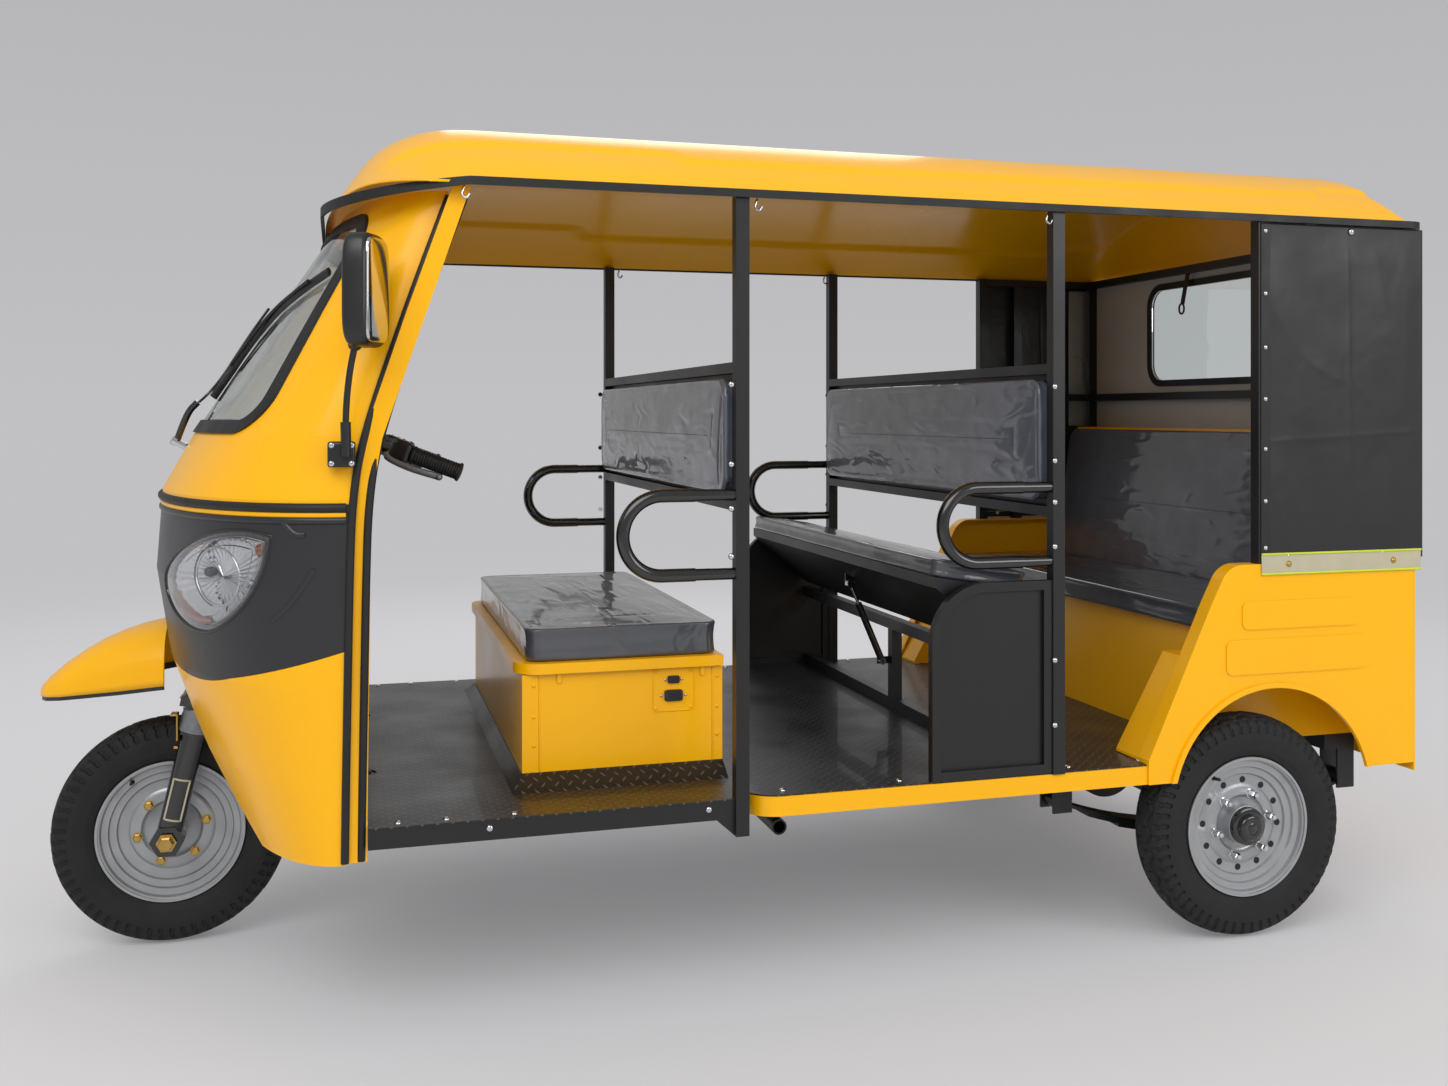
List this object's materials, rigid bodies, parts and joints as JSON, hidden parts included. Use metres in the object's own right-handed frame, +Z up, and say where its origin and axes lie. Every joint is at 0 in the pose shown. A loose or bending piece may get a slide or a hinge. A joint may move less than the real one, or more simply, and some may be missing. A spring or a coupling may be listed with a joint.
{
  "type": "enclosed electric tricycle",
  "caption": "Open-sided electric passenger tricycle with a domed nose, full-length roof, bench seats and side curtains at the rear.",
  "frame": {"origin": "On the ground under the middle of the vehicle's bounding box", "axes": "+X towards the tail along the longest extent, +Y to the vehicle's right as its driver sees it, +Z up; the pictured side is -Y"},
  "size_m": [3.097, 1.5648, 1.815],
  "materials": {
    "body_yellow": "gloss yellow paint",
    "band_black": "satin black paint",
    "lamp_clear": "clear lamp lens over a bright reflector",
    "trim_black": "black moulded trim",
    "liner_black": "grained black liner",
    "frame_black": "black powder coat",
    "floor_black": "black painted pressed floor plate",
    "seal_black": "black rubber seal",
    "clear_glass": "clear glass",
    "seat_grey": "dark grey leathercloth",
    "strut_black": "black painted cylinder",
    "rod_chrome": "polished rod",
    "battery_grey": "grey battery cases",
    "wall_grey": "grey painted inner wall",
    "lamp_red": "red lamp lens",
    "curtain_black": "black coated curtain cloth",
    "axle_black": "black painted housing",
    "spring_black": "black painted spring leaves",
    "tyre_black": "black tyre",
    "rim_silver": "silver paint on pressed steel",
    "fork_black": "gloss black paint",
    "bar_black": "gloss black tube",
    "mirror_black": "black mirror housing"
  },
  "bodies": {
    "body": {"nose_lower": "body_yellow", "nose_band": "band_black", "headlamps": "lamp_clear", "nose_upper": "body_yellow", "window_seals": "seal_black", "window_glass": "clear_glass", "body_trims": "trim_black", "front_mudguard": "body_yellow", "inner_apron": "liner_black", "roof_shell": "body_yellow", "front_pillars": "body_yellow", "chassis_rails": "frame_black", "spring_hangers": "frame_black", "steering_head": "frame_black", "cross_tube": "frame_black", "front_floor": "floor_black", "rear_floor": "floor_black", "rear_sill": "body_yellow", "grab_bars": "bar_black", "front_hoop": "frame_black", "mid_hoop": "frame_black", "hoop_backrests": "seat_grey", "mid_side_panels": "frame_black", "mid_seat_base": "frame_black", "driver_seat_box": "body_yellow", "battery_block": "battery_grey", "rear_quarters": "body_yellow", "wheel_houses": "body_yellow", "rear_seat_box": "body_yellow", "rear_cushion": "seat_grey", "rear_back_cushion": "seat_grey", "rear_cage": "frame_black", "rear_wall": "wall_grey", "tail_panel": "body_yellow", "tail_lamps": "lamp_red", "side_curtains": "curtain_black", "rear_axle": "axle_black", "leaf_springs": "spring_black", "side_mirrors": "mirror_black"},
    "steering": {"front_fork": "fork_black", "handlebar": "bar_black"},
    "front_wheel": {"front_tyre": "tyre_black", "front_rim": "rim_silver"},
    "rear_left_wheel": {"rear_left_tyre": "tyre_black", "rear_left_rim": "rim_silver"},
    "rear_right_wheel": {"rear_right_tyre": "tyre_black", "rear_right_rim": "rim_silver"},
    "mid_seat": {"mid_seat_pan": "frame_black", "mid_cushion": "seat_grey"},
    "strut_tube": {"strut_tube": "strut_black"},
    "strut_rod": {"strut_rod": "rod_chrome"},
    "driver_seat_lid": {"driver_seat_lid": "body_yellow", "driver_cushion": "seat_grey"}
  },
  "joints": [
    {"name": "steering_turn", "type": "hinge", "parent": "body", "child": "steering", "pos_m": [-1.2765, 0, 0.2525], "axis": [0.225, 0, 0.9744], "range_deg": [-35, 35]},
    {"name": "front_wheel_spin", "type": "hinge", "parent": "steering", "child": "front_wheel", "pos_m": [-1.2765, 0, 0.2525], "axis": [0, 1, 0], "continuous": true},
    {"name": "rear_left_wheel_spin", "type": "hinge", "parent": "body", "child": "rear_left_wheel", "pos_m": [1.0735, -0.64, 0.2525], "axis": [0, 1, 0], "continuous": true},
    {"name": "rear_right_wheel_spin", "type": "hinge", "parent": "body", "child": "rear_right_wheel", "pos_m": [1.0735, 0.64, 0.2525], "axis": [0, 1, 0], "continuous": true},
    {"name": "middle_seat_lift", "type": "hinge", "parent": "body", "child": "mid_seat", "pos_m": [0.5515, 0, 0.784], "axis": [0, 1, 0], "range_deg": [0, 25]},
    {"name": "strut_swing", "type": "hinge", "parent": "body", "child": "strut_tube", "pos_m": [0.4615, 0, 0.541], "axis": [0, 1, 0], "range_deg": [0, 7]},
    {"name": "strut_slide", "type": "slide", "parent": "strut_tube", "child": "strut_rod", "axis": [-0.3987, 0, 0.9171], "range_m": [0, 0.078]},
    {"name": "driver_seat_lift", "type": "hinge", "parent": "body", "child": "driver_seat_lid", "pos_m": [-0.1025, 0, 0.652], "axis": [0, 1, 0], "range_deg": [0, 55]}
  ],
  "couplings": [
    {"joint": "strut_swing", "follows": "middle_seat_lift", "ratio": 0.2543},
    {"joint": "strut_slide", "follows": "middle_seat_lift", "m_per_rad": 0.16969}
  ]
}
